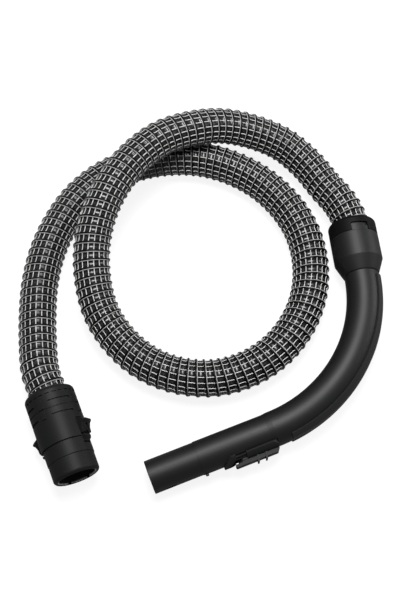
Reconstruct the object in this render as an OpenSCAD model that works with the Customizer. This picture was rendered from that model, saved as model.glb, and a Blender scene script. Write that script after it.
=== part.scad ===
// Vacuum cleaner suction hose: a yarn-reinforced ribbed hose with a latching
// machine connector at one end and a bent wand handle at the other. Both
// fittings swivel on cuffs fixed to the hose. It lies coiled on the floor, z = 0.

/* [Hose] */
// Diameter over the ribs
hose_od = 41; // [38:0.5:41.5]
// Diameter of the air passage
hose_bore = 32; // [28:0.5:34]
// Depth of the grooves between the ribs
rib_depth = 1.8; // [0.8:0.1:2.2]
// Distance from rib to rib
rib_pitch = 9.4; // [9:0.1:14]
// How far the hose goes into the connector
conn_grip = 25; // [22:1:27]
// How far the hose goes into the handle
handle_grip = 40; // [30:1:42]

/* [Swivel cuffs] */
// Thickness of the cuff's wall
cuff_wall = 1.6; // [1.2:0.1:1.8]
// Thickness of the cuff's floor, which the hose end seats on
cuff_floor = 2; // [1.5:0.1:3]
// How far the cuff's bearing flange stands out
flange_out = 1.6; // [1.2:0.1:1.8]
// Length of the bearing flange
flange_len = 3; // [2:0.1:4]
// Running clearance between the cuff and the fitting round it
swivel_gap = 0.3; // [0.2:0.05:0.4]
// Thickness of the sealing ring behind each cuff
seal_len = 2; // [1.5:0.1:2.5]

/* [Connector] */
// Diameter of the collar and sleeve
conn_od = 53; // [52.6:0.1:55]
// Length from the lip to the mouth
conn_len = 95; // [92:0.5:100]
// Length of the collar, up to its seam
conn_collar_len = 24; // [22:0.5:25]
// Place of the seam between sleeve and body
sleeve_end = 60.5; // [59.5:0.5:61.5]
// Place of the seam between body and nose
body_end = 76; // [74:0.5:80]
// Diameter of the body behind the nose
body_od = 49.4; // [48.8:0.1:49.6]
// Diameter of the nose that plugs into the machine
nose_od = 48.4; // [47:0.1:48.6]
// Diameter of the connector's mouth
mouth_d = 38.6; // [36:0.1:38.8]
// Thickness of the pale liner inside the nose
liner_wall = 1.3; // [1:0.1:1.5]
// Rounding of the nose's edge
nose_round = 3.4; // [1:0.1:3.5]
// Width of the slots round the collar and sleeve
slot_w = 2.6; // [1:0.1:3]
// Number of short dashes in the lip's groove
dash_count = 24; // [12:1:28]

/* [Latches] */
// Width of a latch's finger pad
latch_w = 16; // [14:0.5:16]
// Width of the hook arm in front of the pad
arm_w = 10; // [6:0.5:11]
// Radius that the pad's crest reaches
latch_r = 33.4; // [32:0.1:34]
// Diameter of the hinge pins
pin_d = 2; // [1.6:0.1:2.2]
// Side clearance of a latch in its pocket
latch_gap = 0.4; // [0.3:0.05:0.6]
// Angle of the upper latch above the horizontal
latch_roll = 27; // [15:1:35]

/* [Handle] */
// Diameter of the socket and collar
socket_od = 53.4; // [52.8:0.1:56]
// Length of the collar, up to its seam
handle_collar_len = 19.2; // [18:0.2:21]
// Place where the socket starts to narrow
socket_end = 49; // [48:0.5:52]
// Length of the narrowing
funnel_len = 14.5; // [8:0.5:16]
// Diameter of the bent grip tube
grip_od = 37.4; // [36.6:0.1:39]
// Diameter of the spigot that takes a 35 mm wand
spigot_od = 35; // [34.8:0.05:35.2]
// Diameter of the air passage in the tube
tube_bore = 31.2; // [29:0.1:31.4]
// Radius of the bend, on the tube's axis
bend_r = 163; // [150:1:180]
// Angle that the handle bends through
bend_angle = 75.3; // [60:0.1:80]
// Length of the straight tube after the bend
spigot_len = 135.2; // [133:0.2:160]
// Rise of the grip strip above the tube
strip_rise = 2; // [1:0.1:2.4]
// Half the angle that the grip strip wraps round the tube
strip_wrap = 44; // [30:1:50]
// Length of the window in the collar
window_len = 9.3; // [6:0.1:11]
// Place of the wand's lock slot from the tube's end
lock_at = 12.5; // [10:0.5:20]
// Length of the lock slot
lock_len = 10.5; // [8:0.5:14]
// Width of the lock slot
lock_w = 5.5; // [4:0.1:8]
// Length of the seat that a wand slides over, up to its stop
seat_len = 53; // [40:1:60]
// Step up behind the seat
seat_step = 0.5; // [0.1:0.05:0.6]
// Diameter of the stop nib
nib_d = 3.4; // [2:0.1:5]
// Rise of the stop nib above the spigot
nib_rise = 2.1; // [1:0.1:3]

/* [Air slider] */
// Place of the guard's tip from the tube's end
guard_at = 74.3; // [72:0.1:75]
// Rise of the guard and slider above the tube
slider_rise = 3; // [2.6:0.1:3.4]
// Half the angle that the slider wraps round the tube
slider_wrap = 44; // [43:1:48]
// How far the slider moves to shut the port
slider_travel = 10; // [6:0.5:10.5]
// Rise of the thumb pad above the slider
pad_rise = 3.2; // [2:0.1:4]
// Width of the thumb pad
pad_w = 11; // [8:0.5:13]
// Rise of the two thumb ribs above the pad
fin_rise = 2.6; // [1:0.1:3]
// Thickness of the two thumb ribs
fin_w = 2; // [1.4:0.1:2.6]

/* [Hidden] */
$fn = 96;
eps = 0.05;         // overrun of a cut past a face
gap = 0.3;          // clearance between soft or moving faces

// Where the fittings lie: lip centre on the floor plan, and heading from lip to mouth
conn_xy = [-168.2, -49.7];
conn_dir = -68.2;
handle_xy = [160.6, 148];
handle_dir = -83.5;

// Swivel: radii from the hose outwards, shared by both ends
hose_r = hose_od / 2;
cuff_in = hose_r + gap;
cuff_out = cuff_in + cuff_wall;
flange_r = cuff_out + flange_out;
bore_r = flange_r + swivel_gap;         // bore of both collars
neck_in = cuff_out + swivel_gap + 0.1;  // bore of the necks inside the collars
lip_in = hose_r + 0.6;
lip_r = hose_r + 1.4;
lip_len = 3;
cuff_at = lip_len + swivel_gap;
neck_at = cuff_at + flange_len + swivel_gap;
conn_cuff_end = conn_grip + cuff_floor;
handle_cuff_end = handle_grip + cuff_floor;
conn_seat = conn_cuff_end + swivel_gap + seal_len;      // shoulders that the sealing
handle_seat = handle_cuff_end + swivel_gap + seal_len;  // rings lie on
shoulder = 5.5;     // length of the rounded shoulder of each collar
seam_cut = 0.7;     // depth and half the width of the groove at a collar's seam

// Connector: radii and places along its axis
conn_r = conn_od / 2;
body_r = body_od / 2;
nose_r = nose_od / 2;
mouth_r = mouth_d / 2;
liner_r = mouth_r + liner_wall;
sleeve_in = conn_r - 1.5;
air_r = mouth_r + 0.4;                  // air passage behind the liner
core_r = air_r + 1.9;                   // tube under the latches
core_at = conn_seat + 8;                // where the thicker neck ends
nose_seal_len = 2;
slot_row = [conn_collar_len - 7, conn_collar_len + 8];  // one in the collar, one in the sleeve
slot_depth = 1.6;
dash_row = [7.9, 9.7];
dash_depth = 1.3;
slot_arc = 54;
tab_at = [23, 113, 203, 293];
tab_w = 5;
tab_rise = 1.2;
tab_clear = 1.1;    // the tabs end this far from the seam
liner_back = 0.8;   // the liner ends this far behind the mouth
keyway_w = 4;

// Latches: one profile, worked out from the sleeve's end and the crest's radius
pocket_at = sleeve_end - 20.5;
pivot_z = pocket_at + 2.5;
hub_r = pin_d / 2 + 0.7;
pivot_r = core_r + gap + hub_r;
arm_in = core_r + 2.7;
pin_fit = 0.05;
pin_len = latch_w + 2.4;
ear_w = 2.4;
spring_t = 0.4;
dish_at = pivot_z + 10;

// Handle: places along the socket's axis, then round the bend and down the spigot
socket_r = socket_od / 2;
grip_r = grip_od / 2;
spigot_r = spigot_od / 2;
tube_in = tube_bore / 2;
bend_at = socket_end + funnel_len + 2;
tip_y = bend_r * (1 - cos(bend_angle)) + spigot_len * sin(bend_angle);
tip_z = bend_at + bend_r * sin(bend_angle) + spigot_len * cos(bend_angle);
handle_tilt = asin((socket_r - spigot_r) / tip_y);      // so that the tip meets the floor
window_arc = 42;
window_mid = -10;
rear_r = spigot_r + seat_step;
nib_at = seat_len + 3;
strip_r = grip_r + strip_rise;
seam = 0.02;        // fine step where the bend meets the straight tubes
strip_in = 4.7;     // the strip thins out towards the spigot, on a circle set this far
strip_lean = 15;    // off the bend's centre, in this direction

// Air slider: places along the spigot, from the tube's end
frame_r = rear_r + slider_rise;
slider_in = rear_r + gap;
guard_back = guard_at + 14;             // where the guard's arms end
guard_w = 4.4;                          // the guard's width along the tube at its tip
guard_wrap = slider_wrap + 3;
hook_at = slider_wrap - 2.8;            // angle of the hooks that hold the slider
port_at = guard_at + guard_w + 2.2;
port_w = 8;
tongue_at = port_at + slider_travel - 1.2;
tongue_w = 13;
vee = 0.77;                             // slope of the guard, port and tongue tips
saddle_at = guard_back + slider_travel + 2;
saddle_len = 34.2;
saddle_end = min(saddle_at + saddle_len, spigot_len - 0.7);
pad_at = guard_at + guard_w + 7.4;
fin_at = [saddle_at + 9.7, saddle_at + 18.7];
lip_t = 0.8;
rail_at = [22, 35];                     // angles of the two pairs of rails
rail_w = 1.2;
rail_h = 1.1;

// Free part of the hose: plan position, and lift above lying on the floor. The last
// strand climbs over the first in one long low rise.
free_route = [[-177, -29, 5.6], [-183, 6, 3], [-186, 41, 1], [-186, 79, 0], [-180, 117, 0],
    [-167, 153, 0], [-147, 186, 0], [-119, 212, 0], [-85, 229, 0], [-48, 237, 0], [-9, 236, 0],
    [27, 225, 0], [60, 205, 0], [86, 178, 0], [105, 144, 0], [113, 107, 0], [111, 69, 0],
    [98, 33, 0], [75, 2, 0], [44, -20, 0], [8, -31, 0], [-30, -29, 0], [-66, -15, 0.5], [-95, 9, 3],
    [-116, 40, 9], [-126, 76, 18], [-127, 113, 28], [-119, 149, 37], [-103, 183, 43],
    [-80, 214, 44.5], [-52, 238, 43.5], [-19, 253, 39], [16, 263, 29], [52, 262, 18], [87, 250, 10],
    [115, 225, 6], [136, 195, 5], [149, 177, 5.8]];
function flat(dir) = [cos(dir), sin(dir), 0];
function lift(p) = [p[0], p[1], hose_r + gap + p[2] * hose_od / 41];
conn_at = [conn_xy[0], conn_xy[1], conn_r];
handle_at = [handle_xy[0], handle_xy[1], socket_r];
route = concat(
    [for (d = [conn_grip, conn_grip / 2, 0, -12]) conn_at + d * flat(conn_dir)],
    [for (p = free_route) lift(p)],
    [for (d = [-4, 0, handle_grip / 2, handle_grip]) handle_at + d * flat(handle_dir)]);

// Smooth curve through the route, and its length along it
steps = 8;
last = len(route) - 1;
function through(a, b, c, d, t) = 0.5 * (2 * b + (c - a) * t
    + (2 * a - 5 * b + 4 * c - d) * t * t + (3 * b - a - 3 * c + d) * t * t * t);
function at(i) = route[min(max(i, 0), last)];
path = concat([for (i = [0 : last - 1]) for (k = [0 : steps - 1])
    through(at(i - 1), at(i), at(i + 1), at(i + 2), k / steps)], [route[last]]);
run = [for (i = 0, s = 0; i < len(path);
    s = s + (i < len(path) - 1 ? norm(path[i + 1] - path[i]) : 0), i = i + 1) s];
hose_len = run[len(run) - 1];
function track(k) = [for (i = [0 : len(path) - 1]) [run[i], path[i][k]]];
xs = track(0);
ys = track(1);
zs = track(2);
function pos(s) = [lookup(s, xs), lookup(s, ys), lookup(s, zs)];
function unit(v) = v / norm(v);
function along(s) = unit(pos(min(s + 2, hose_len)) - pos(max(s - 2, 0)));

// Rings: a crest and a groove for each rib, and a plainer bore
sides = 8;
ribs = round(hose_len / rib_pitch);
outer_n = 2 * ribs;
inner_n = round(ribs / 2);
function ring(s, r) = let (t = along(s), n = unit(cross(t, [0, 0, 1])), b = cross(n, t), p = pos(s))
    [for (k = [0 : sides - 1]) p + r * (cos(k * 360 / sides) * n + sin(k * 360 / sides) * b)];
function band(a, b, k, turn) = let (q = (k + 1) % sides)
    turn ? [[a + k, b + q, a + q], [a + k, b + k, b + q]]
         : [[a + k, a + q, b + q], [a + k, b + q, b + k]];

// Gap where the strands cross, measured on points and printed
crossing = min([for (i = [20 : 140]) for (j = [210 : len(path) - 20]) norm(path[i] - path[j])]);
echo(hose_length = round(hose_len), ribs = ribs, crossing_gap = crossing - hose_od);

module hose() {
    half = hose_len / outer_n;
    outer = [for (i = [0 : outer_n]) each ring(i * half, hose_r - (i % 2 == 0 ? rib_depth : 0))];
    inner = [for (i = [0 : inner_n]) each ring(i * hose_len / inner_n, hose_bore / 2)];
    in0 = len(outer);
    faces = concat(
        [for (i = [0 : outer_n - 1]) for (k = [0 : sides - 1])
            each band(i * sides, (i + 1) * sides, k, true)],
        [for (i = [0 : inner_n - 1]) for (k = [0 : sides - 1])
            each band(in0 + i * sides, in0 + (i + 1) * sides, k, false)],
        [for (k = [0 : sides - 1]) each band(0, in0, k, false)],
        [for (k = [0 : sides - 1]) each band(outer_n * sides, in0 + inner_n * sides, k, true)]);
    color("dimgray") polyhedron(concat(outer, inner), faces);
}

// Local frame of a fitting: Z from lip to mouth, X up
module fitting(at, dir) {
    translate(at) rotate([0, 0, dir]) rotate([0, 90, 0]) rotate([0, 0, 180]) children();
}
module in_connector() fitting(conn_at, conn_dir) children();
module in_handle() fitting(handle_at, handle_dir) rotate([0, 0, handle_tilt]) children();

// Frame of the bend: X from its centre to the tube, turning towards the spigot
module in_bend() in_handle() translate([0, bend_r, bend_at]) rotate([90, 0, -90]) children();

// Frame of the spigot: Z from the tube's end back to the bend, Y to its outer side
module in_spigot() in_handle() translate([0, tip_y, tip_z]) rotate([180 - bend_angle, 0, 0]) children();

module tube(r_out, r_in, z0, z1) {
    rotate_extrude() translate([r_in, z0]) square([r_out - r_in, z1 - z0]);
}

// Part of a ring, centred on X and given by half its angle
module sector(r_in, r_out, z0, z1, half_angle) {
    rotate([0, 0, -half_angle]) rotate_extrude(angle = 2 * half_angle)
        translate([r_in, z0]) square([r_out - r_in, z1 - z0]);
}

// Plan outline seen from the spigot's outer side, raised along it
module from_outside(y0, y1) {
    translate([0, y0, 0]) rotate([90, 0, 180]) linear_extrude(y1 - y0) children();
}

// Cuff that is fixed on a hose end and turns in the collar
module cuff(end) {
    rotate_extrude() polygon([[cuff_in, cuff_at], [flange_r, cuff_at],
        [flange_r, cuff_at + flange_len - 0.6], [flange_r - 0.6, cuff_at + flange_len],
        [cuff_out, cuff_at + flange_len], [cuff_out, end], [hose_bore / 2, end],
        [hose_bore / 2, end - cuff_floor], [cuff_in, end - cuff_floor]]);
}

// Collar that holds the cuff in: a lip round the hose, a rounded shoulder and a bore
module collar(r, seam) {
    rotate_extrude() difference() {
        union() {
            translate([lip_in, 0]) square([lip_r - lip_in, shoulder]);
            translate([lip_in, shoulder]) square([r - lip_in, seam - shoulder - seam_cut]);
            translate([lip_in, seam - seam_cut - eps])
                square([r - seam_cut - lip_in, seam_cut + eps]);
            intersection() {
                translate([lip_in, 0]) square([r - lip_in, shoulder + eps]);
                translate([lip_r, shoulder]) circle(r - lip_r);
            }
        }
        translate([0, lip_len]) square([bore_r, seam]);
    }
}

module conn_cuff() {
    color("#202020") in_connector() cuff(conn_cuff_end);
}

// Slots, dashes and raised tabs round the connector
module slots(z) {
    for (a = tab_at) rotate([0, 0, a + 45])
        sector(conn_r - slot_depth, conn_r + 1, z - slot_w / 2, z + slot_w / 2, slot_arc / 2);
}
module dashes() {
    arc = 360 / dash_count;
    for (i = [0 : dash_count - 1]) rotate([0, 0, i * arc])
        sector(conn_r - dash_depth, conn_r + 1, dash_row[0], dash_row[1], 0.36 * arc);
}
module tabs(z0, z1) {
    for (a = tab_at) rotate([0, 0, a]) intersection() {
        translate([conn_r - 1, -tab_w / 2, z0]) cube([3, tab_w, z1 - z0]);
        cylinder(r = conn_r + tab_rise, h = z1);
    }
}

module conn_collar() {
    color("#2b2c2e") in_connector() {
        difference() {
            collar(conn_r, conn_collar_len);
            slots(slot_row[0]);
            dashes();
        }
        tabs(slot_row[0] - 3.5, conn_collar_len - tab_clear);
    }
}

// Both latch pockets
module latches() {
    for (a = [latch_roll - 90, latch_roll + 90]) rotate([0, 0, a]) children();
}

module conn_sleeve() {
    color("#2b2c2e") in_connector() {
        difference() {
            rotate_extrude() polygon([[neck_in, neck_at], [bore_r, neck_at], [bore_r, conn_collar_len],
                [conn_r - seam_cut, conn_collar_len], [conn_r, conn_collar_len + seam_cut],
                [conn_r, sleeve_end - 0.5], [conn_r - 0.5, sleeve_end], [sleeve_in, sleeve_end],
                [sleeve_in, core_at + 1.5], [neck_in, core_at]]);
            slots(slot_row[1]);
            latches() {
                translate([core_r, -latch_w / 2 - latch_gap, pocket_at])
                    cube([conn_r, latch_w + 2 * latch_gap, conn_len]);
                pin_at(pin_len);
            }
        }
        tabs(conn_collar_len + tab_clear, slot_row[1] + 1.5);
        latches() latch_ears();
    }
}

// Ears inside the sleeve that carry a latch's pin
module latch_ears() {
    for (s = [-1, 1]) difference() {
        intersection() {
            translate([core_r + gap, s * (latch_w / 2 + latch_gap + ear_w / 2) - ear_w / 2, pocket_at + 0.4])
                cube([6, ear_w, 4.2]);
            cylinder(r = sleeve_in + 0.5, h = conn_len);
        }
        pin_at(pin_len);
    }
}

module pin_at(length, extra = 0) {
    translate([pivot_r, 0, pivot_z]) rotate([90, 0, 0])
        cylinder(r = pin_d / 2 + extra, h = length, center = true, $fn = 48);
}

module latch_pins() {
    color("silver") in_connector() latches() pin_at(pin_len);
}

// Inner tube, with the body's wall in front of the sleeve and notches for the hook arms
module conn_body() {
    color("#262729") in_connector() difference() {
        rotate_extrude() polygon([[air_r, conn_seat], [neck_in, conn_seat], [neck_in, core_at],
            [core_r, core_at + 1], [core_r, sleeve_end - 2], [sleeve_in, sleeve_end - 2],
            [sleeve_in, sleeve_end], [body_r - 0.4, sleeve_end], [body_r, sleeve_end + 0.4],
            [body_r, body_end - 0.4], [body_r - 0.4, body_end], [air_r, body_end]]);
        latches() translate([core_r, -arm_w / 2 - latch_gap, sleeve_end - 3])
            cube([body_r, arm_w + 2 * latch_gap, 10]);
    }
}

module conn_nose() {
    color("#2b2c2e") in_connector() rotate_extrude() difference() {
        union() {
            translate([liner_r, body_end]) square([nose_r - liner_r, conn_len - nose_round - body_end]);
            translate([liner_r, body_end]) square([nose_r - nose_round - liner_r, conn_len - body_end]);
            translate([nose_r - nose_round, conn_len - nose_round]) circle(nose_round);
        }
        translate([nose_r - 0.5, body_end - eps]) rotate(-45) square([1, 1]);
        translate([0, 0]) square([liner_r, conn_len + 1]);
    }
}

module conn_liner() {
    color("#8d8f90") in_connector() difference() {
        tube(liner_r, mouth_r, body_end + nose_seal_len, conn_len - liner_back);
        for (a = [150, 210, 0]) rotate([0, 0, a])
            translate([mouth_r - 1, -keyway_w / 2, conn_len - liner_back - 3]) cube([4, keyway_w, 4]);
    }
}

module conn_nose_seal() {
    color("#101010") in_connector() tube(liner_r, air_r, body_end, body_end + nose_seal_len);
}

module conn_swivel_seal() {
    color("#101010") in_connector() tube(neck_in, air_r, conn_seat - seal_len, conn_seat);
}

// Latch lever: hub on the pin, domed finger pad with a dish, arm with a ramped hook
module latch() {
    z = pivot_z;
    difference() {
        union() {
            intersection() {
                rotate_extrude() polygon([[arm_in, z + 1.5], [arm_in, z + 15.3], [latch_r - 5, z + 15.3],
                    [latch_r - 4.3, z + 14.4], [latch_r - 3.9, z + 10], [latch_r - 2.3, z + 6],
                    [latch_r - 0.2, z + 3.8], [latch_r - 0.1, z + 2.4], [latch_r - 2.4, z + 0.5],
                    [pivot_r + hub_r + 0.6, z - 1.9], [pivot_r, z - 1.9]]);
                translate([0, -latch_w / 2, z - 3]) cube([40, latch_w, 20]);
            }
            intersection() {
                rotate_extrude() polygon([[arm_in, z + 14], [arm_in, z + 23.2], [arm_in + 0.7, z + 23.6],
                    [arm_in + 1.6, z + 22], [arm_in + 3.9, z + 19.4], [arm_in + 3.9, z + 17.8],
                    [arm_in + 2.2, z + 17.6], [arm_in + 2.2, z + 14]]);
                translate([0, -arm_w / 2, z + 10]) cube([40, arm_w, 15]);
            }
            translate([pivot_r, 0, z]) rotate([90, 0, 0])
                cylinder(r = hub_r, h = latch_w, center = true, $fn = 48);
            translate([latch_r - 6, 0, dish_at]) rotate([0, 90, 0]) linear_extrude(2.9) stadium(10.6, 8);
        }
        translate([latch_r - 4.6, 0, dish_at]) rotate([0, 90, 0]) linear_extrude(6) stadium(8, 5.4);
        pin_at(latch_w + 2, pin_fit);
    }
}
module stadium(length, width) {
    square([length - width, width], center = true);
    for (s = [-1, 1]) translate([s * (length - width) / 2, 0]) circle(d = width);
}

module latch_upper() {
    color("#1b1b1c") in_connector() rotate([0, 0, latch_roll - 90]) latch();
}
module latch_lower() {
    color("#1b1b1c") in_connector() rotate([0, 0, latch_roll + 90]) latch();
}

// Leaf springs that hold the latches out
module latch_springs() {
    z = pivot_z + 6;
    top = arm_in - 0.3;
    color("lightsteelblue") in_connector() latches() rotate([90, 0, 0])
        linear_extrude(5, center = true) polygon([[core_r, z], [core_r, z + 8], [core_r + spring_t, z + 8],
            [core_r + spring_t, z + spring_t + 1], [top - spring_t, z + 8], [top, z + 8 - spring_t],
            [core_r + 0.8, z]]);
}

module handle_cuff() {
    color("#202020") in_handle() cuff(handle_cuff_end);
}

module windows(inset, z0, z1, r_in, r_out) {
    for (a = [0, 180]) rotate([0, 0, window_mid + a])
        sector(r_in, r_out, z0, z1, window_arc / 2 - inset);
}

module handle_collar() {
    color("#2e2f31") in_handle() difference() {
        collar(socket_r, handle_collar_len);
        windows(0, handle_collar_len - window_len, handle_collar_len + 1, bore_r - 1, socket_r + 1);
    }
}

module handle_swivel_seal() {
    color("#101010") in_handle() tube(neck_in, tube_in + 2, handle_seat - seal_len, handle_seat);
}

// Handle: one moulding on the real hose, in three nodes: socket with funnel, bend, spigot
module handle_socket() {
    funnel_end = socket_end + funnel_len;
    color("#1d1e20") in_handle() {
        rotate_extrude() polygon([[neck_in, neck_at], [bore_r, neck_at], [bore_r, handle_collar_len],
            [socket_r - seam_cut, handle_collar_len], [socket_r, handle_collar_len + seam_cut],
            [socket_r, socket_end - 1], [socket_r - 0.4, socket_end], [grip_r + 1.8, funnel_end - 1],
            [grip_r + 1.3, funnel_end], [grip_r, funnel_end + 0.4], [grip_r, bend_at],
            [tube_in, bend_at], [tube_in, handle_seat + 12], [tube_in + 3, handle_seat],
            [neck_in, handle_seat]]);
        windows(1, handle_collar_len - window_len / 2, handle_collar_len, bore_r - 0.5, socket_r - 0.8);
    }
}
module handle_bend() {
    color("#1d1e20") in_bend() rotate_extrude(angle = bend_angle) translate([bend_r, 0]) difference() {
        circle(grip_r - seam);
        circle(tube_in + seam);
    }
}
module handle_spigot() {
    color("#1d1e20") in_spigot() spigot();
}

// Spigot: lock slot, stop nib, air port and the grooves that the slider hooks into
module spigot() {
    difference() {
        union() {
            rotate_extrude() polygon([[tube_in, 0], [spigot_r - 0.7, 0], [spigot_r, 0.7],
                [spigot_r, seat_len], [rear_r, seat_len], [rear_r, spigot_len], [tube_in, spigot_len]]);
            translate([0, rear_r - 1, nib_at]) rotate([-90, 0, 0])
                cylinder(d = nib_d, h = 1 + nib_rise, $fn = 32);
            fade();
        }
        from_outside(tube_in - 3, spigot_r + 1) translate([0, lock_at + lock_len / 2])
            square([lock_w, lock_len], center = true);
        from_outside(tube_in - 3, spigot_r + 1) port();
        for (s = [-1, 1]) rotate([0, 0, 90 + s * hook_at])
            sector(rear_r - lip_t - gap, rear_r + 1, guard_back + 1.6, saddle_end + 1, 2.6);
    }
}
module port() {
    polygon([[0, port_at], [port_w / 2, port_at + vee * port_w / 2], [port_w / 2, port_at + 9],
        [-port_w / 2, port_at + 9], [-port_w / 2, port_at + vee * port_w / 2]]);
}
// Taper from the spigot to the thicker grip, clear of the slider
module fade() {
    difference() {
        rotate_extrude() polygon([[rear_r - 0.5, spigot_len - 6], [rear_r, spigot_len - 6],
            [grip_r, spigot_len], [rear_r - 0.5, spigot_len]]);
        rotate([0, 0, 90]) sector(0, grip_r + 2, spigot_len - 7, min(saddle_end + 0.4, spigot_len + 1),
            slider_wrap + 8);
    }
}

// Strip along the outside of the grip, rising least where it meets the slider
module grip_strip() {
    color("#3a3b3d") in_bend() intersection() {
        rotate([0, 0, 1]) rotate_extrude(angle = bend_angle - 6) translate([bend_r, 0]) difference() {
            intersection() {
                circle(strip_r);
                polygon([[0, 0], for (a = [-strip_wrap, 0, strip_wrap]) 40 * [cos(a), sin(a)]]);
            }
            circle(grip_r);
        }
        rotate([0, 0, strip_lean]) translate([strip_in, 0, 0])
            cylinder(r = bend_r + strip_r - strip_in, h = 3 * strip_r, center = true, $fn = 180);
    }
}

// Guard in front of the port, and the rails that the slider runs along
module slider_frame() {
    tip = guard_at;
    wide = frame_r * sin(guard_wrap);
    inner = frame_r * sin(guard_wrap - 14);
    color("#3c3d3f") in_spigot() {
        intersection() {
            rotate([0, 0, 90]) sector(rear_r, frame_r, tip, guard_back, guard_wrap);
            from_outside(0, frame_r + 1) polygon([[0, tip], [2.5, tip + 0.4], [wide, guard_back - 3],
                [wide + 1, guard_back - 3], [wide + 1, guard_back + 1], [inner, guard_back + 1],
                [inner, guard_back], [1.5, tip + guard_w + 0.6], [0, tip + guard_w],
                [-1.5, tip + guard_w + 0.6], [-inner, guard_back], [-inner, guard_back + 1],
                [-wide - 1, guard_back + 1], [-wide - 1, guard_back - 3], [-wide, guard_back - 3],
                [-2.5, tip + 0.4]]);
        }
        for (s = [-1, 1]) {
            rail(90 + s * rail_at[1], guard_back - 2, saddle_at + 24);
            rail(90 + s * rail_at[0], port_at + 2.2, saddle_at + 12);
        }
    }
}
module rail(a, z0, z1, grow = 0) {
    rotate([0, 0, a]) sector(rear_r - grow, rear_r + rail_h + grow, z0 - grow, z1 + grow,
        (rail_w / 2 + grow) / rear_r * 180 / PI);
}

// Slider: saddle on the tube, pointed tongue over the port, thumb pad with two ribs
module air_slider() {
    pad_top = frame_r + pad_rise;
    half = frame_r * sin(slider_wrap) + 1;
    color("#414244") in_spigot() {
        difference() {
            union() {
                intersection() {
                    rotate([0, 0, 90]) sector(slider_in, frame_r, tongue_at, saddle_end, slider_wrap);
                    from_outside(0, frame_r + 1) union() {
                        saddle_outline(half);
                        polygon([[0, tongue_at], [tongue_w / 2, tongue_at + vee * tongue_w / 2],
                            [tongue_w / 2, saddle_at + 1], [-tongue_w / 2, saddle_at + 1],
                            [-tongue_w / 2, tongue_at + vee * tongue_w / 2]]);
                    }
                }
                thumb_pad(pad_top);
            }
            for (s = [-1, 1]) for (a = rail_at)
                rail(90 + s * a, saddle_at - 30, saddle_end + 5, gap);
        }
        for (s = [-1, 1]) rotate([0, 0, 90 + s * hook_at])
            sector(rear_r - lip_t, slider_in + 0.5, saddle_at + 1, saddle_end - 8, 1.3);
    }
}
module saddle_outline(half) {
    z1 = saddle_end;
    polygon([[-half, saddle_at], [half, saddle_at], [half, z1 - 6], [half * 0.86, z1 - 2.2],
        [half * 0.7, z1], [-half * 0.7, z1], [-half * 0.86, z1 - 2.2], [-half, z1 - 6]]);
}
module thumb_pad(top) {
    rotate([90, 0, 90]) linear_extrude(pad_w, center = true)
        polygon([[frame_r + gap, pad_at], [frame_r + gap, tongue_at + 4], [frame_r - 0.9, tongue_at + 4],
            [frame_r - 0.9, saddle_end], [frame_r, saddle_end], [top, saddle_end - 2.4],
            [top, pad_at + 1.2], [top - 0.7, pad_at]]);
    for (z = fin_at) rotate([90, 0, 90]) linear_extrude(pad_w + 2.2, center = true)
        polygon([[frame_r - 1.2, z], [frame_r - 1.2, z + fin_w], [top + fin_rise - 0.5, z + fin_w - 1.5],
            [top + fin_rise, z - 1.5 + fin_w / 2], [top + fin_rise - 0.5, z - 1.5]]);
}

hose();
conn_cuff();
conn_collar();
conn_sleeve();
conn_body();
conn_nose();
conn_liner();
conn_nose_seal();
conn_swivel_seal();
latch_upper();
latch_lower();
latch_pins();
latch_springs();
handle_cuff();
handle_collar();
handle_swivel_seal();
handle_socket();
handle_bend();
handle_spigot();
grip_strip();
slider_frame();
air_slider();
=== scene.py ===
# %% [markdown]
# # A vacuum hose, dressed for a picture
# The imported model is loaded as a fixed frame: every fitting is already there, in metres, at its true
# place. This notebook adds the ribbed hose itself, the finishes, the light and the camera.

# %% Load the frame
import bpy, bmesh
from math import cos, pi, radians, sin, tan
from mathutils import Matrix, Vector


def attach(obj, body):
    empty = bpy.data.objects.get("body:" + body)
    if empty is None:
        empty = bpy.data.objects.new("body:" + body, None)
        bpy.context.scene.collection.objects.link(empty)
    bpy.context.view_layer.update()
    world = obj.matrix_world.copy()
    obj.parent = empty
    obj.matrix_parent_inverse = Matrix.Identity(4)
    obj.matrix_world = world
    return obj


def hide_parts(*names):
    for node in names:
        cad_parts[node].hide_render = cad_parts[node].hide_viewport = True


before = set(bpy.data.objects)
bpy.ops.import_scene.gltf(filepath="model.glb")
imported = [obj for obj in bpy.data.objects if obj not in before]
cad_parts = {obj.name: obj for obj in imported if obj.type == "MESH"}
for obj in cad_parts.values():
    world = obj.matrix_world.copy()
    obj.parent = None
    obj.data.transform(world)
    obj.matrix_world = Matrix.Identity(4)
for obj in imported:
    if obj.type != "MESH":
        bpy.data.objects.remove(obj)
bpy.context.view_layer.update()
bpy.context.scene.view_settings.view_transform = "Standard"
print("pieces in the frame:", len(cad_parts))

# %% [markdown]
# ## Camera
# The hose lies on a table and is seen from above and in front, from about a metre away. The camera is
# set by where it stands and what it looks at, and its lens by the angle from the picture's lower edge
# to its upper edge, because those three say the same thing at any picture size.

# %% Camera
eye = Vector((-0.009, -0.324, 0.940))
aim = Vector((-0.009, 0.066, 0.0))
upright_angle = radians(36.6)
camera_data = bpy.data.cameras.new("camera")
camera_data.sensor_fit = "VERTICAL"
camera_data.lens = camera_data.sensor_height / 2 / tan(upright_angle / 2)
camera = bpy.data.objects.new("camera", camera_data)
camera.location = eye
camera.rotation_euler = (aim - eye).to_track_quat("-Z", "Y").to_euler()
bpy.context.scene.collection.objects.link(camera)
bpy.context.scene.camera = camera
print("camera stands", round((eye - aim).length, 3), "m away")

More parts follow.
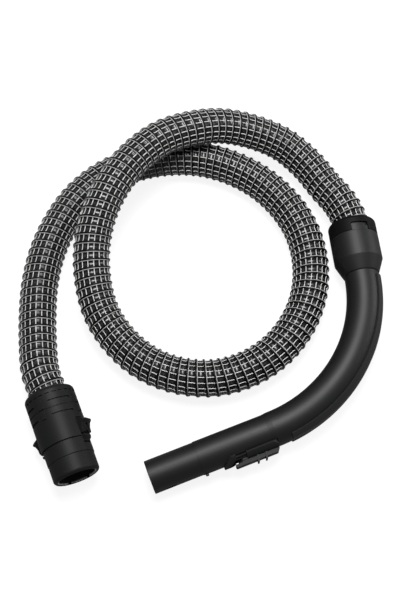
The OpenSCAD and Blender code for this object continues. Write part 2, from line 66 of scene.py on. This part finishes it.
# %% [markdown]
# ## Route of the hose
# A real hose is a fixed length of something springy, so its line is settled first. The line starts
# inside the machine connector, runs straight out of it, makes one and a half turns on the table,
# climbs in a low hump over its own first strand and ends inside the handle, again straight. The free
# points are in millimetres: place on the table, and how far the axis is lifted above lying flat. A
# smooth curve goes through all of them. It allows for uneven spaces between points, because a curve
# that takes them as even gets small kinks, and a kink would stretch the ribs apart.

# %% Route
MM = 0.001
hose_r = 20.5            # over the ribs
lying_gap = 0.3          # between the ribs and the table
lying_height = hose_r + lying_gap
conn_at = Vector((-168.2, -49.7, 26.5))
conn_dir = radians(-68.2)
conn_grip = 25           # how far the hose reaches into the connector
conn_lead = 2            # how far it runs on straight outside it
handle_at = Vector((160.6, 148, 26.7))
handle_dir = radians(-83.5)
handle_grip = 40         # how far it reaches into the handle
line_steps = 8           # points of the line for each stretch between two given points
free_route = [(-177, -29, 5.6), (-183, 6, 3), (-186, 41, 1), (-186, 79, 0), (-180, 117, 0), (-167, 153, 0),
    (-147, 186, 0), (-119, 212, 0), (-85, 229, 0), (-48, 237, 0), (-9, 236, 0), (27, 225, 0),
    (60, 205, 0), (86, 178, 0), (105, 144, 0), (113, 107, 0), (111, 69, 0), (98, 33, 0), (75, 2, 0),
    (44, -20, 0), (8, -31, 0), (-30, -29, 0), (-66, -15, 0.5), (-95, 9, 3), (-116, 40, 9),
    (-126, 76, 18), (-127, 113, 28), (-119, 149, 37), (-103, 183, 43), (-80, 214, 44.5),
    (-52, 238, 43.5), (-19, 253, 39), (16, 263, 29), (52, 262, 18), (87, 250, 10), (115, 225, 6),
    (136, 195, 5), (149, 177, 5.8)]

def heading(angle):
    """The level direction that is turned by an angle from +X."""
    return Vector((cos(angle), sin(angle), 0))

route = [conn_at + d * heading(conn_dir) for d in (conn_grip, conn_grip / 2, -conn_lead)]
route += [Vector((x, y, lying_height + lift)) for x, y, lift in free_route]
route += [handle_at + d * heading(handle_dir) for d in (0, handle_grip / 2, handle_grip)]

def smooth_line(points, steps):
    """Points of a smooth curve through all the given points, steps of them to each stretch.
    The slope at a point leans towards the shorter of the two stretches that meet there."""
    spans = [(b - a).length for a, b in zip(points, points[1:])]
    ways = [(b - a).normalized() for a, b in zip(points, points[1:])]
    slopes = [ways[0]]
    for way, next_way, span, next_span in zip(ways, ways[1:], spans, spans[1:]):
        slopes.append((way * next_span + next_way * span) / (span + next_span))
    slopes.append(ways[-1])
    line = []
    for k, span in enumerate(spans):
        for t in (step / steps for step in range(steps)):
            line.append(points[k] * (1 - t) ** 2 * (1 + 2 * t) + points[k + 1] * t ** 2 * (3 - 2 * t)
                + slopes[k] * span * t * (1 - t) ** 2 - slopes[k + 1] * span * t ** 2 * (1 - t))
    return line + [points[-1]]

centre_line = smooth_line(route, line_steps)
hose_length = sum((b - a).length for a, b in zip(centre_line, centre_line[1:]))
print("hose length", round(hose_length), "mm over", len(centre_line), "points")

# %% [markdown]
# ## How the hose is made
# The real hose is wound: a strip of dark film, a black rib that keeps it round, and a white thread
# beside the rib all go round in one long screw, and white yarns run lengthwise under them. Sweeping a
# section along the bent line would work, but a screw is far easier to make straight. So each piece is
# spun straight along X, a small step forward with each step round, and a Curve modifier then bends
# it along the route, just as the factory's straight hose is bent on the table. Before bending, each
# point remembers where it was on the straight hose, and the finishes read that.

# %% Line for bending, and the helpers that make a wound piece
pitch = 9.4              # from rib to rib
spare_turns = 4          # so that the straight hose is longer than the line before it is trimmed
weld_gap = 0.00004       # metres; corners of two turns that are nearer than this become one
bend_curve = bpy.data.curves.new("hose_line", "CURVE")
bend_curve.dimensions = "3D"
bend_curve.twist_mode = "MINIMUM"
spline = bend_curve.splines.new("POLY")
spline.points.add(len(centre_line) - 1)
for point, place in zip(spline.points, centre_line):
    point.co = (*(place * MM), 1)
bend_line = bpy.data.objects.new("hose_line", bend_curve)
bpy.context.scene.collection.objects.link(bend_line)

def wound(section, around, closed):
    """One turn of a section of (along, radius) points in mm, wound once round with the hose's pitch."""
    shape = bmesh.new()
    corners = [shape.verts.new(((along - pitch) * MM, radius * MM, 0)) for along, radius in section]
    edges = [shape.edges.new(pair) for pair in zip(corners, corners[1:] + corners[:1] * closed)]
    bmesh.ops.spin(shape, geom=corners + edges, cent=(0, 0, 0), axis=(1, 0, 0), angle=2 * pi,
        steps=around, dvec=(pitch * MM / around, 0, 0), use_merge=False)
    return shape

def object_from(name, shape):
    """A new object in the scene from a bmesh, which is let go."""
    mesh = bpy.data.meshes.new(name)
    shape.to_mesh(mesh)
    shape.free()
    piece = bpy.data.objects.new(name, mesh)
    bpy.context.scene.collection.objects.link(piece)
    return piece

def apply_modifiers(piece):
    """Puts the result of all the modifiers into the mesh."""
    scene_now = bpy.context.evaluated_depsgraph_get()
    piece.data = bpy.data.meshes.new_from_object(piece.evaluated_get(scene_now),
        preserve_all_data_layers=True, depsgraph=scene_now)
    piece.data.name = piece.name
    piece.modifiers.clear()

def bent(name, shape, wall=0):
    """A hose piece: one turn repeated from end to end, trimmed square, and bent along the line.
    With a wall it is an open tube of that thickness in mm, and without one its ends are closed."""
    piece = object_from(name, shape)
    turns = piece.modifiers.new("turns", "ARRAY")
    turns.count = int(hose_length / pitch) + spare_turns
    turns.use_relative_offset = False
    turns.use_constant_offset = True
    turns.constant_offset_displace = (pitch * MM, 0, 0)
    turns.use_merge_vertices = True
    turns.merge_threshold = weld_gap
    apply_modifiers(piece)
    long = bmesh.new()
    long.from_mesh(piece.data)
    for place, outward in ((0, -1), (hose_length * MM, 1)):
        geom = long.verts[:] + long.edges[:] + long.faces[:]
        bmesh.ops.bisect_plane(long, geom=geom, dist=1e-7, plane_co=(place, 0, 0),
            plane_no=(outward, 0, 0), clear_outer=True)
    if not wall:
        bmesh.ops.holes_fill(long, edges=[edge for edge in long.edges if edge.is_boundary], sides=0)
    bmesh.ops.recalc_face_normals(long, faces=long.faces)
    long.to_mesh(piece.data)
    long.free()
    straight = piece.data.attributes.new("straight", "FLOAT_VECTOR", "POINT")
    for vertex in piece.data.vertices:
        straight.data[vertex.index].vector = vertex.co
    if wall:
        solid = piece.modifiers.new("wall", "SOLIDIFY")
        solid.thickness = wall * MM
        solid.offset = -1
    bend = piece.modifiers.new("bend", "CURVE")
    bend.object = bend_line
    bend.deform_axis = "POS_X"
    apply_modifiers(piece)
    for face in piece.data.polygons:
        face.use_smooth = True
    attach(piece, "hose")
    print(name, len(piece.data.polygons), "faces")
    return piece

print("one rib each", pitch, "mm makes", round(hose_length / pitch), "ribs")

# %% [markdown]
# ## Film
# The film is one corrugated wall: it rises to the rib and lies flat between ribs. Its section, of
# (along, radius) points, covers exactly one pitch, so neighbouring turns share an edge and merge into
# one tube.

# %% Film
film_steps = 32          # steps of the screw for each turn
film_wall = 1.2
film_section = [(-4.7, 18.7), (-2.4, 18.75), (-1.7, 19.2), (-1.1, 19.8), (0, 19.9), (1.1, 19.8),
    (1.7, 19.2), (2.4, 18.75), (4.7, 18.7)]
hose_film = bent("hose_film", wound(film_section, film_steps, False), wall=film_wall)
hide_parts("hose")

# %% [markdown]
# ## Black rib and white thread
# The rib is what the hand feels: a narrow black bead on the crest of the film, wound once round for
# each pitch. Beside it, on the connector's side, lies a thin white thread. Both are closed sections
# on the same screw as the film.

# %% Rib and thread
rib_w = 1.9
rib_foot = 19.2          # radius of the rib's underside, sunk in the film
rib_shoulder = 20.1      # radius where its sides end
rib_round = 0.08         # drop from its crest to the edges of the crest
rib_edge = rib_w * 0.3   # how far those edges are from the middle
rib_section = [(-rib_w / 2, rib_foot), (-rib_w / 2, rib_shoulder), (-rib_edge, hose_r - rib_round),
    (0, hose_r), (rib_edge, hose_r - rib_round), (rib_w / 2, rib_shoulder), (rib_w / 2, rib_foot)]
hose_rib = bent("hose_rib", wound(rib_section, film_steps, True))

thread_r = 0.42
thread_at = -1.4         # along the hose, from the middle of the rib
thread_lift = 19.85      # from the hose's axis to the thread's
thread_sides = 6
thread_steps = 28
thread_section = []
for k in range(thread_sides):
    a = 2 * pi * k / thread_sides
    thread_section.append((thread_at + thread_r * cos(a), thread_lift + thread_r * sin(a)))
hose_thread = bent("hose_thread", wound(thread_section, thread_steps, True))

# %% [markdown]
# ## Lengthwise yarns
# Nineteen white yarns run from end to end. Each is a flat ribbon pressed on the film, so it dips and
# rises with it, and it passes under the rib. A ribbon starts as a flattened ring of four corners,
# which is extruded step by step through one pitch: each step is a share of the pitch and a radius.
# The rib comes round at another place on each yarn, so each ribbon starts where the rib crosses it.

# %% Yarns
yarn_count = 19
yarn_w = 1.15            # width
yarn_t = 0.6             # thickness
dips = [(0, 19.9), (0.12, 19.75), (0.18, 19.3), (0.26, 18.85), (0.74, 18.85), (0.82, 19.3), (0.88, 19.75),
    (1, 19.9)]
yarns = bmesh.new()
for k in range(yarn_count):
    turned = Matrix.Rotation(2 * pi * k / yarn_count, 4, "X")
    start = Matrix.Translation(((k / yarn_count - 1) * pitch * MM, dips[0][1] * MM, 0))
    flat = Matrix.Rotation(pi / 2, 4, "Y") @ Matrix.Diagonal((yarn_w / 2, yarn_t / 2, 1, 1))
    ring = bmesh.ops.create_circle(yarns, segments=4, radius=MM, matrix=turned @ start @ flat)["verts"]
    edges = list({edge for vertex in ring for edge in vertex.link_edges})
    for (share, radius), (next_share, next_radius) in zip(dips, dips[1:]):
        made = bmesh.ops.extrude_edge_only(yarns, edges=edges)["geom"]
        ring = [part for part in made if isinstance(part, bmesh.types.BMVert)]
        edges = [part for part in made if isinstance(part, bmesh.types.BMEdge)
            and all(vertex in ring for vertex in part.verts)]
        move = Vector(((next_share - share) * pitch * MM, (next_radius - radius) * MM, 0))
        bmesh.ops.translate(yarns, verts=ring, vec=turned.to_3x3() @ move)
hose_yarns = bent("hose_yarns", yarns)
bpy.data.objects.remove(bend_line)

# %% [markdown]
# ## Light and table
# The light is that of a product table: a faint sky all round, one large soft lamp above and a little
# behind, which draws a broad soft line along each tube, and a weak one from the right. The table is
# matt and has a glow of its own. To the camera, sky and table are white, and the soft shadow under
# the hose stays. In what a surface mirrors, both are dim, so that black plastic stays deep black.

# %% Light and table
def shown(tree, seen, mirrored, lighting=0.0):
    """A strength for each kind of ray: what the camera sees, what a surface mirrors, what lights."""
    levels = {"Is Glossy Ray": mirrored, "Is Transmission Ray": mirrored, "Is Camera Ray": seen}
    rays = tree.nodes.new("ShaderNodeLightPath").outputs
    strength = None
    for ray, level in levels.items():
        choice = tree.nodes.new("ShaderNodeMix")
        choice.inputs["A"].default_value = lighting
        choice.inputs["B"].default_value = level
        if strength:
            tree.links.new(strength, choice.inputs["A"])
        tree.links.new(rays[ray], choice.inputs["Factor"])
        strength = choice.outputs["Result"]
    return strength

world = bpy.data.worlds.new("sky")
bpy.context.scene.world = world
world.use_nodes = True
sky = world.node_tree.nodes["Background"]
sky.inputs["Color"].default_value = (1, 1, 1, 1)
sky_strength = shown(world.node_tree, seen=1.0, mirrored=0.25, lighting=0.12)
world.node_tree.links.new(sky_strength, sky.inputs["Strength"])

def soft_lamp(name, place, size, power):
    """A square lamp that faces the middle of the coil; metres and watts."""
    data = bpy.data.lights.new(name, "AREA")
    data.size = size
    data.energy = power
    lamp = bpy.data.objects.new(name, data)
    lamp.location = place
    lamp.rotation_euler = (coil_middle - lamp.location).to_track_quat("-Z", "Y").to_euler()
    bpy.context.scene.collection.objects.link(lamp)
    print(name, "gives", power, "W")

coil_middle = Vector((0, 0.08, 0))
soft_lamp("top_lamp", place=(0.0, 0.35, 1.3), size=0.6, power=19)
soft_lamp("side_lamp", place=(1.2, 0.45, 0.45), size=0.5, power=4.5)

table_half = 3           # metres from its middle to its sides
table_shape = bmesh.new()
bmesh.ops.create_grid(table_shape, x_segments=1, y_segments=1, size=table_half)
table = object_from("table", table_shape)
table_white = bpy.data.materials.new("table_white")
table_white.use_nodes = True
paint = table_white.node_tree.nodes["Principled BSDF"]
paint.inputs["Base Color"].default_value = (0.2, 0.2, 0.2, 1)
paint.inputs["Roughness"].default_value = 1
paint.inputs["Specular IOR Level"].default_value = 0
paint.inputs["Emission Color"].default_value = (1, 1, 1, 1)
glow = shown(table_white.node_tree, seen=0.88, mirrored=0.1)
table_white.node_tree.links.new(glow, paint.inputs["Emission Strength"])
table.data.materials.append(table_white)

# %% [markdown]
# ## Small tools for finishes
# A finish is a tree of nodes. Short helpers keep the trees readable: they add a node with its
# settings, a sum, a soft step between two levels, or a mix of two colours. Others start and place a
# node group, which is an effect that several finishes share, and start a finish.

# %% Tools for finishes
def add_node(tree, kind, feeds=None, **settings):
    """A shader node with its settings. Each feed is a plain value, or another node's output to link."""
    made = tree.nodes.new("ShaderNode" + kind)
    for key, value in settings.items():
        setattr(made, key, value)
    for key, value in (feeds or {}).items():
        if isinstance(value, bpy.types.NodeSocket):
            tree.links.new(value, made.inputs[key])
        else:
            made.inputs[key].default_value = value
    return made

def calc(tree, operation, *values):
    """The result of a Math node."""
    return add_node(tree, "Math", dict(enumerate(values)), operation=operation).outputs[0]

def between(tree, value, low, high, to_low=0.0, to_high=1.0):
    """A soft step: to_low where the value is under low, to_high where it is over high."""
    return add_node(tree, "MapRange", {"Value": value, "From Min": low, "From Max": high,
        "To Min": to_low, "To Max": to_high}, interpolation_type="SMOOTHSTEP").outputs["Result"]

def noise(tree, place, scale, detail):
    """Soft noise from 0 to 1; scale is in lumps to the metre."""
    return add_node(tree, "TexNoise", {"Vector": place, "Scale": scale, "Detail": detail}).outputs["Fac"]

def vector_calc(tree, operation, first, second):
    """The result of a Vector Math node. The second value is a number to SCALE by, or else a vector."""
    key = "Scale" if operation == "SCALE" else 1
    kind = "Value" if operation == "DOT_PRODUCT" else "Vector"
    return add_node(tree, "VectorMath", {0: first, key: second}, operation=operation).outputs[kind]

def two_colours(tree, share, first, second):
    """The first colour where the share is 0 and the second where it is 1."""
    return add_node(tree, "Mix", {0: share, 6: (*first, 1), 7: (*second, 1)}, data_type="RGBA").outputs[2]

def bump_from(tree, shader, height, distance, strength):
    """Lets a height show as relief on a finish."""
    bump = add_node(tree, "Bump", {"Height": height, "Distance": distance, "Strength": strength})
    tree.links.new(bump.outputs["Normal"], shader.inputs["Normal"])

def new_group(name, inputs, outputs):
    """An empty node group, the sockets that it is given, and the sockets for its results."""
    tree = bpy.data.node_groups.new(name, "ShaderNodeTree")
    for label, kind in inputs.items():
        tree.interface.new_socket(name=label, in_out="INPUT", socket_type="NodeSocket" + kind)
    for label in outputs:
        tree.interface.new_socket(name=label, in_out="OUTPUT", socket_type="NodeSocketFloat")
    return tree, tree.nodes.new("NodeGroupInput").outputs, tree.nodes.new("NodeGroupOutput").inputs

def use_group(tree, group, feeds):
    """Places a node group in a finish."""
    return add_node(tree, "Group", feeds, node_tree=group).outputs

def new_finish(name, **plain):
    """A material, its node tree and its shader, with plain numbers set straight on the shader."""
    material = bpy.data.materials.new(name)
    material.use_nodes = True
    shader = material.node_tree.nodes["Principled BSDF"]
    for label, value in plain.items():
        shader.inputs[label.replace("_", " ")].default_value = value
    return material, material.node_tree, shader

# %% [markdown]
# ## Shared effects
# Moulded plastic is never quite even: it has a fine grain, patches that shine a little more, and a
# few scuffs. Its edges, inner ones too, are painted a little paler in patches, as a painted highlight.
# The wound hose needs to know where a point lies between two ribs and between two yarns, and its
# yarns are twisted fibre.

# %% Group: grain of a moulding
scuff_rough = 0.15       # what a scuff adds to the roughness
scuff_pale = 0.9         # what it adds to the tone
scuff_dent = -0.5        # what it adds to the height of the grain
patch_pale = 2.0         # how much more a patch changes the tone than the roughness
grain_group, given, result = new_group("moulded_grain", {"Place": "Vector", "Grain": "Float",
    "Roughness": "Float", "Unevenness": "Float", "Scuffs": "Float"}, ("Tone", "Roughness", "Height"))
fine = noise(grain_group, given["Place"], scale=given["Grain"], detail=2.0)
broad = noise(grain_group, given["Place"], scale=26.0, detail=3.0)
drawn = add_node(grain_group, "Mapping", {"Vector": given["Place"], "Rotation": (0.3, 0.5, 0.7),
    "Scale": (70.0, 900.0, 260.0)}).outputs["Vector"]
streaks = noise(grain_group, drawn, scale=1.0, detail=3.0)
scuffed = calc(grain_group, "MULTIPLY", between(grain_group, streaks, 0.62, 0.74), given["Scuffs"])
patches = calc(grain_group, "MULTIPLY", calc(grain_group, "SUBTRACT", broad, 0.5), given["Unevenness"])
rougher = calc(grain_group, "MULTIPLY_ADD", scuffed, scuff_rough, given["Roughness"])
grain_group.links.new(calc(grain_group, "ADD", rougher, patches), result["Roughness"])
paler = calc(grain_group, "MULTIPLY_ADD", scuffed, scuff_pale, 1.0)
grain_group.links.new(calc(grain_group, "MULTIPLY_ADD", patches, patch_pale, paler), result["Tone"])
grain_group.links.new(calc(grain_group, "MULTIPLY_ADD", scuffed, scuff_dent, fine), result["Height"])

# %% Group: painted edge highlight
edge_highlight_group, given, result = new_group("painted_edge_highlight", {"Place": "Vector", "Width": "Float"}, ("Edge",))
rounded = add_node(edge_highlight_group, "Bevel", {"Radius": given["Width"]}, samples=6).outputs["Normal"]
as_made = add_node(edge_highlight_group, "NewGeometry").outputs["Normal"]
alike = vector_calc(edge_highlight_group, "DOT_PRODUCT", rounded, as_made)
near_edge = between(edge_highlight_group, alike, 0.86, 0.99, to_low=1.0, to_high=0.0)
patches = noise(edge_highlight_group, given["Place"], scale=320.0, detail=2.0)
patchy = between(edge_highlight_group, patches, 0.3, 0.6, to_low=0.35, to_high=1.0)
edge_highlight_group.links.new(calc(edge_highlight_group, "MULTIPLY", near_edge, patchy), result["Edge"])

# %% Group: place on the wound hose
band_shift = 0.05        # share of a pitch: the dark band's middle is between the rib and the thread
wound_group, given, result = new_group("place_on_hose", {"Straight": "Vector"}, ("Turn", "Rib", "Yarn"))
axes = add_node(wound_group, "SeparateXYZ", {"Vector": given["Straight"]}).outputs
angle = calc(wound_group, "DIVIDE", calc(wound_group, "ARCTAN2", axes["Z"], axes["Y"]), 2 * pi)
turns = calc(wound_group, "SUBTRACT", calc(wound_group, "DIVIDE", axes["X"], pitch * MM), angle)
wound_group.links.new(angle, result["Turn"])
from_band = calc(wound_group, "ADD", turns, band_shift)
wound_group.links.new(calc(wound_group, "PINGPONG", from_band, 0.5), result["Rib"])
from_yarn = calc(wound_group, "MULTIPLY", angle, yarn_count)
wound_group.links.new(calc(wound_group, "PINGPONG", from_yarn, 0.5), result["Yarn"])

# %% Group: twisted fibre
crest_painted_light = 0.1        # how much paler a strand's crest is painted, as painted light on the twist's relief
fibre_group, given, result = new_group("twisted_fibre", {"Phase": "Float", "Place": "Vector"},
    ("Tone", "Height"))
# painted light: the colour is paler on each strand's crest and darker in the grooves, following the relief
strand = calc(fibre_group, "SINE", calc(fibre_group, "MULTIPLY", given["Phase"], 2 * pi))
soil = noise(fibre_group, given["Place"], scale=90.0, detail=3.0)
cleaner = between(fibre_group, soil, 0.3, 0.7, to_low=0.78, to_high=1.0)
fibre_group.links.new(calc(fibre_group, "MULTIPLY_ADD", strand, crest_painted_light, cleaner), result["Tone"])
fibre_group.links.new(strand, result["Height"])
print("shared effects:", [group.name for group in bpy.data.node_groups])

# %% [markdown]
# ## Finish of the hose
# The film is smoky plastic. Next to the yarns and the rib its colour is painted darker, as shade in
# the creases, so each cell of the net has a painted dark outline and a greyer middle. Fine ridges run
# round it, four to a pitch, and shine more than the grooves between them, so its long soft glints are
# lined. The rib is black and less glossy. The yarns and the thread are white fibre with a thin glossy
# coat of the same film.

# %% Hose finishes
def on_hose(tree):
    """Where the point was on the straight hose, and its place between the ribs and the yarns."""
    straight = add_node(tree, "Attribute", attribute_name="straight").outputs["Vector"]
    return straight, use_group(tree, wound_group, {"Straight": straight})

ridges_to_pitch = 4
ridge_height = 0.3       # as a share of the height of the wrinkles
film, tree, shader = new_finish("smoky_film", Specular_IOR_Level=0.1, Coat_Roughness=0.2)
straight, where = on_hose(tree)
# painted shade: the film's colour darkens next to the rib and the yarns, where the creases are
clear_of_rib_shade = between(tree, where["Rib"], 0.2, 0.4)
clear_of_yarn_shade = between(tree, where["Yarn"], 0.2, 0.42)
clear_of_crease_shade = calc(tree, "MULTIPLY", clear_of_rib_shade, clear_of_yarn_shade)
cloudy = noise(tree, straight, scale=140.0, detail=3.0)
crease_shade_and_cloud = calc(tree, "MULTIPLY", clear_of_crease_shade, between(tree, cloudy, 0.3, 0.7, to_low=0.55, to_high=1.1))
tint = two_colours(tree, crease_shade_and_cloud, (0.0008, 0.0008, 0.001), (0.026, 0.0267, 0.028))
tree.links.new(tint, shader.inputs["Base Color"])
tree.links.new(between(tree, cloudy, 0.3, 0.7, to_low=0.26, to_high=0.42), shader.inputs["Roughness"])
wrinkles = noise(tree, straight, scale=700.0, detail=2.0)
ridges = calc(tree, "COSINE", calc(tree, "MULTIPLY", where["Rib"], 2 * pi * ridges_to_pitch))
tree.links.new(between(tree, ridges, -0.8, 0.8, to_low=0.05, to_high=1.0), shader.inputs["Coat Weight"])
relief = calc(tree, "MULTIPLY_ADD", ridges, ridge_height, wrinkles)
bump_from(tree, shader, relief, distance=0.0003, strength=0.5)

rib_black, tree, shader = new_finish("rib_black", Specular_IOR_Level=0.15)
straight, where = on_hose(tree)
grain = use_group(tree, grain_group, {"Place": straight, "Grain": 900.0, "Roughness": 0.34,
    "Unevenness": 0.1, "Scuffs": 0.6})
colour = vector_calc(tree, "SCALE", (0.0015, 0.0015, 0.0017), grain["Tone"])
tree.links.new(colour, shader.inputs["Base Color"])
tree.links.new(grain["Roughness"], shader.inputs["Roughness"])
bump_from(tree, shader, grain["Height"], distance=0.00012, strength=0.5)

def fibre_finish(name, phase_of, colour):
    """White twisted fibre; phase_of says how the twist runs along the piece."""
    material, tree, shader = new_finish(name, Roughness=0.6, Coat_Weight=0.8, Coat_Roughness=0.25)
    straight, where = on_hose(tree)
    fibre = use_group(tree, fibre_group, {"Phase": phase_of(tree, straight, where), "Place": straight})
    tree.links.new(vector_calc(tree, "SCALE", colour, fibre["Tone"]), shader.inputs["Base Color"])
    bump_from(tree, shader, fibre["Height"], distance=0.00008, strength=0.6)
    return material

yarn_twist = 0.0014      # metres of yarn to one twist
yarn_lean = 3.0          # how far the twist leans across the yarn
thread_twists = 90.0     # twists of the thread to one turn round the hose

def along_yarn(tree, straight, where):
    """Twists counted along a yarn, which runs along X on the straight hose."""
    lengthwise = add_node(tree, "SeparateXYZ", {"Vector": straight}).outputs["X"]
    twists = calc(tree, "DIVIDE", lengthwise, yarn_twist)
    return calc(tree, "MULTIPLY_ADD", where["Yarn"], yarn_lean, twists)

def along_thread(tree, straight, where):
    """Twists counted round the hose."""
    return calc(tree, "MULTIPLY", where["Turn"], thread_twists)

yarn_white = fibre_finish("yarn_white", along_yarn, (0.85, 0.85, 0.84))
thread_white = fibre_finish("thread_white", along_thread, (0.5, 0.5, 0.49))
for piece, material in ((hose_film, film), (hose_rib, rib_black), (hose_thread, thread_white),
        (hose_yarns, yarn_white)):
    piece.data.materials.clear()
    piece.data.materials.append(material)
    print(material.name, "on", piece.name)

# %% [markdown]
# ## Finish of the mouldings
# The rigid pieces are moulded plastic, and differ in colour, shine and grain: the handle is satin
# black, its collar is darker and duller, the connector and the slider are dark grey with a fine spark
# grain, the cuffs and latches are black, the grip strip is a little paler than the handle beside it,
# and the seals are black rubber. One function makes them all from the shared effects.

# %% Moulded finishes
edge_width = 0.5         # mm of an edge that gets the painted highlight

def moulded(name, colour, rough, grain_size, grain_depth, unevenness, scuffs, edge_light, shine=0.15):
    """Moulded plastic or rubber. The size and depth of the grain are in mm, edge_light is added to
    the colour on edges as a painted highlight, and shine is the strength of its plain reflection."""
    material, tree, shader = new_finish(name, Specular_IOR_Level=shine)
    place = add_node(tree, "TexCoord").outputs["Object"]
    grain = use_group(tree, grain_group, {"Place": place, "Grain": 1 / (grain_size * MM),
        "Roughness": rough, "Unevenness": unevenness, "Scuffs": scuffs})
    edge = use_group(tree, edge_highlight_group, {"Place": place, "Width": edge_width * MM})["Edge"]
    even = vector_calc(tree, "SCALE", colour, grain["Tone"])
    # painted highlight: the edge mask adds a paler colour on every edge, inner edges too
    painted_edge_colour = vector_calc(tree, "SCALE", (1.0, 1.0, 1.0), calc(tree, "MULTIPLY", edge, edge_light))
    tree.links.new(vector_calc(tree, "ADD", even, painted_edge_colour), shader.inputs["Base Color"])
    tree.links.new(grain["Roughness"], shader.inputs["Roughness"])
    bump_from(tree, shader, grain["Height"], distance=grain_depth * MM, strength=0.6)
    return material

def dress(material, *names):
    """Puts a finish on fixed pieces of the frame."""
    for name in names:
        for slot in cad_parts[name].material_slots:
            slot.material = material
    print(material.name, "on", names)

handle_black = moulded("handle_black", (0.0045, 0.0047, 0.0049), rough=0.5, grain_size=0.5,
    grain_depth=0.02, unevenness=0.06, scuffs=0.5, edge_light=0.0, shine=0.42)
connector_grey = moulded("connector_grey", (0.011, 0.0113, 0.012), rough=0.5, grain_size=0.35,
    grain_depth=0.03, unevenness=0.08, scuffs=0.5, edge_light=0.025)
deep_black = moulded("deep_black", (0.008, 0.008, 0.0085), rough=0.5, grain_size=0.4,
    grain_depth=0.02, unevenness=0.08, scuffs=0.3, edge_light=0.02)
collar_black = moulded("collar_black", (0.003, 0.003, 0.0033), rough=0.55, grain_size=0.8,
    grain_depth=0.06, unevenness=0.08, scuffs=0.3, edge_light=0.015, shine=0.12)
slider_grey = moulded("slider_grey", (0.02, 0.0205, 0.021), rough=0.5, grain_size=0.3,
    grain_depth=0.03, unevenness=0.08, scuffs=0.5, edge_light=0.03)
grip_soft = moulded("grip_soft", (0.014, 0.0144, 0.015), rough=0.55, grain_size=0.25,
    grain_depth=0.04, unevenness=0.1, scuffs=0.3, edge_light=0.01, shine=0.4)
seal_rubber = moulded("seal_rubber", (0.01, 0.01, 0.01), rough=0.75, grain_size=0.3,
    grain_depth=0.04, unevenness=0.1, scuffs=0.2, edge_light=0.0)
dress(handle_black, "handle_socket", "handle_bend", "handle_spigot")
dress(connector_grey, "conn_collar", "conn_sleeve", "conn_body", "conn_nose")
dress(deep_black, "conn_cuff", "handle_cuff", "latch_upper", "latch_lower")
dress(collar_black, "handle_collar")
dress(slider_grey, "slider_frame", "air_slider")
dress(grip_soft, "grip_strip")
dress(seal_rubber, "conn_nose_seal", "conn_swivel_seal", "handle_swivel_seal")

# %% [markdown]
# ## Liner and steel
# The liner in the mouth is pale plastic, coloured pale only at its front rim and dark in the bore
# behind it. So its colour follows the distance along the connector's axis.
# The hinge pins and leaf springs are drawn steel, brushed by the die.

# %% Liner and steel
dark_up_to = 0.0932     # metres along the connector from where the hose leaves it
pale_from = 0.0945
edge_wander = 0.0012      # how far the edge between dark and pale wanders
liner_pale, tree, shader = new_finish("liner_pale", Specular_IOR_Level=0.4)
place = add_node(tree, "TexCoord").outputs["Object"]
from_hose = vector_calc(tree, "SUBTRACT", place, tuple(conn_at * MM))
forward = vector_calc(tree, "DOT_PRODUCT", from_hose, tuple(heading(conn_dir)))
mottle = noise(tree, place, scale=160.0, detail=4.0)
wandering = calc(tree, "MULTIPLY_ADD", mottle, edge_wander, forward)
# the colour is dark from the bore up to a little behind the front rim, and pale at the rim
pale_rim = between(tree, wandering, dark_up_to, pale_from)
tint = two_colours(tree, pale_rim, (0.012, 0.012, 0.013), (0.88, 0.88, 0.88))
tree.links.new(tint, shader.inputs["Base Color"])
tree.links.new(between(tree, mottle, 0.3, 0.7, to_low=0.4, to_high=0.6), shader.inputs["Roughness"])
bump_from(tree, shader, mottle, distance=0.0001, strength=0.4)
dress(liner_pale, "conn_liner")

steel, tree, shader = new_finish("drawn_steel", Metallic=1.0)
place = add_node(tree, "TexCoord").outputs["Object"]
drawn = add_node(tree, "Mapping", {"Vector": place, "Scale": (300.0, 4000.0, 4000.0)}).outputs["Vector"]
lines = noise(tree, drawn, scale=1.0, detail=2.0)
tint = two_colours(tree, lines, (0.45, 0.45, 0.46), (0.7, 0.7, 0.7))
tree.links.new(tint, shader.inputs["Base Color"])
tree.links.new(between(tree, lines, 0.3, 0.7, to_low=0.22, to_high=0.4), shader.inputs["Roughness"])
bump_from(tree, shader, lines, distance=0.00002, strength=0.4)
dress(steel, "latch_pins", "latch_springs")
